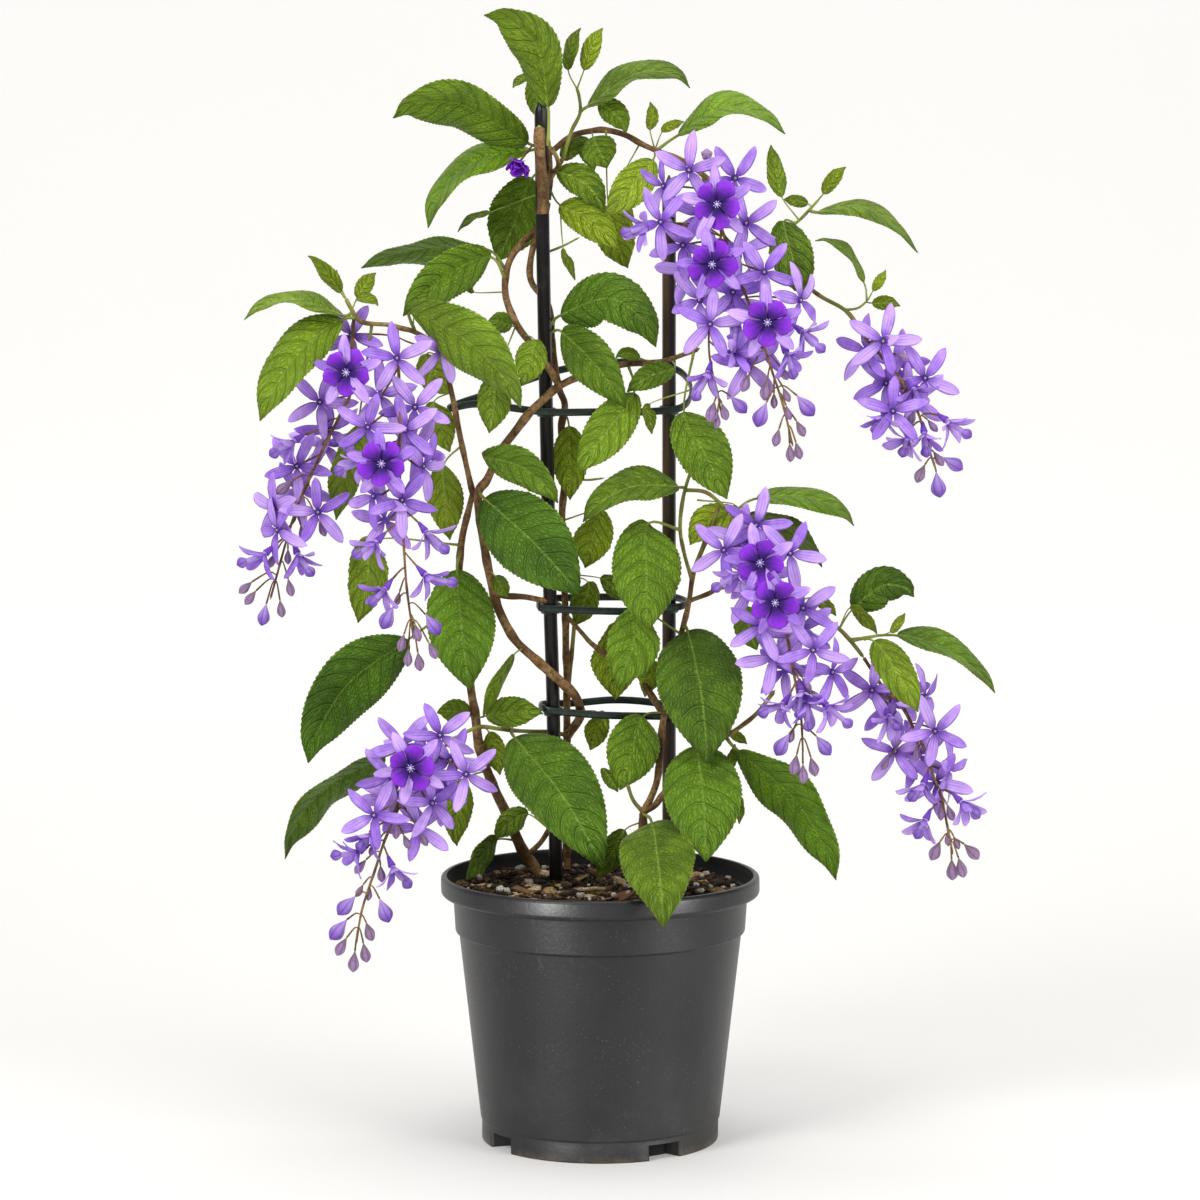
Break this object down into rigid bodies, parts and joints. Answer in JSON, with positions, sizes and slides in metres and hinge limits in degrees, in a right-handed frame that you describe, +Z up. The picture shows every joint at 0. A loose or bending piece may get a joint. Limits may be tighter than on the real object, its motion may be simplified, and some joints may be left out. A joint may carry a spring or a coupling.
{
  "type": "potted flowering climbing plant",
  "caption": "Potted sandpaper vine: twining woody stems tied to two stakes by wire hoops, rough drooping leaves and hanging racemes of lavender star-shaped flowers in a round nursery pot.",
  "frame": {"origin": "centre of the pot's underside, on the surface it stands on", "axes": "+Z up along the plant's height, -Y toward the viewer, +X to the viewer's right"},
  "size_m": [0.4722, 0.2124, 0.7068],
  "materials": {
    "pot": "moulded charcoal nursery plastic, satin with scuffs",
    "soil": "damp bark potting mix",
    "stake": "dark coated cane, semi-gloss",
    "hoop": "dark green coated wire",
    "leafy_stem": "rough green leaf blades on olive to brown stems",
    "calyx": "soft lavender calyx lobes",
    "corolla": "velvety deep violet petals"
  },
  "bodies": {
    "root": {"pot": "pot", "soil": "soil", "stake_left": "stake", "stake_right": "stake", "hoop_upper": "hoop", "hoop_middle": "hoop", "hoop_lower": "hoop", "climber_left": "leafy_stem", "climber_main": "leafy_stem", "crown": "leafy_stem", "arch_shoot": "leafy_stem", "climber_right": "leafy_stem", "shoot_right": "leafy_stem", "shoot_left": "leafy_stem", "raceme_a": "calyx", "raceme_b": "calyx", "raceme_c": "calyx", "raceme_d": "calyx", "raceme_e": "calyx", "raceme_f": "calyx", "raceme_g": "calyx", "corolla_a_1": "corolla", "corolla_a_2": "corolla", "corolla_c_1": "corolla", "corolla_c_2": "corolla", "corolla_c_3": "corolla", "corolla_e_1": "corolla", "corolla_e_2": "corolla", "corolla_g_1": "corolla"}
  },
  "joints": []
}
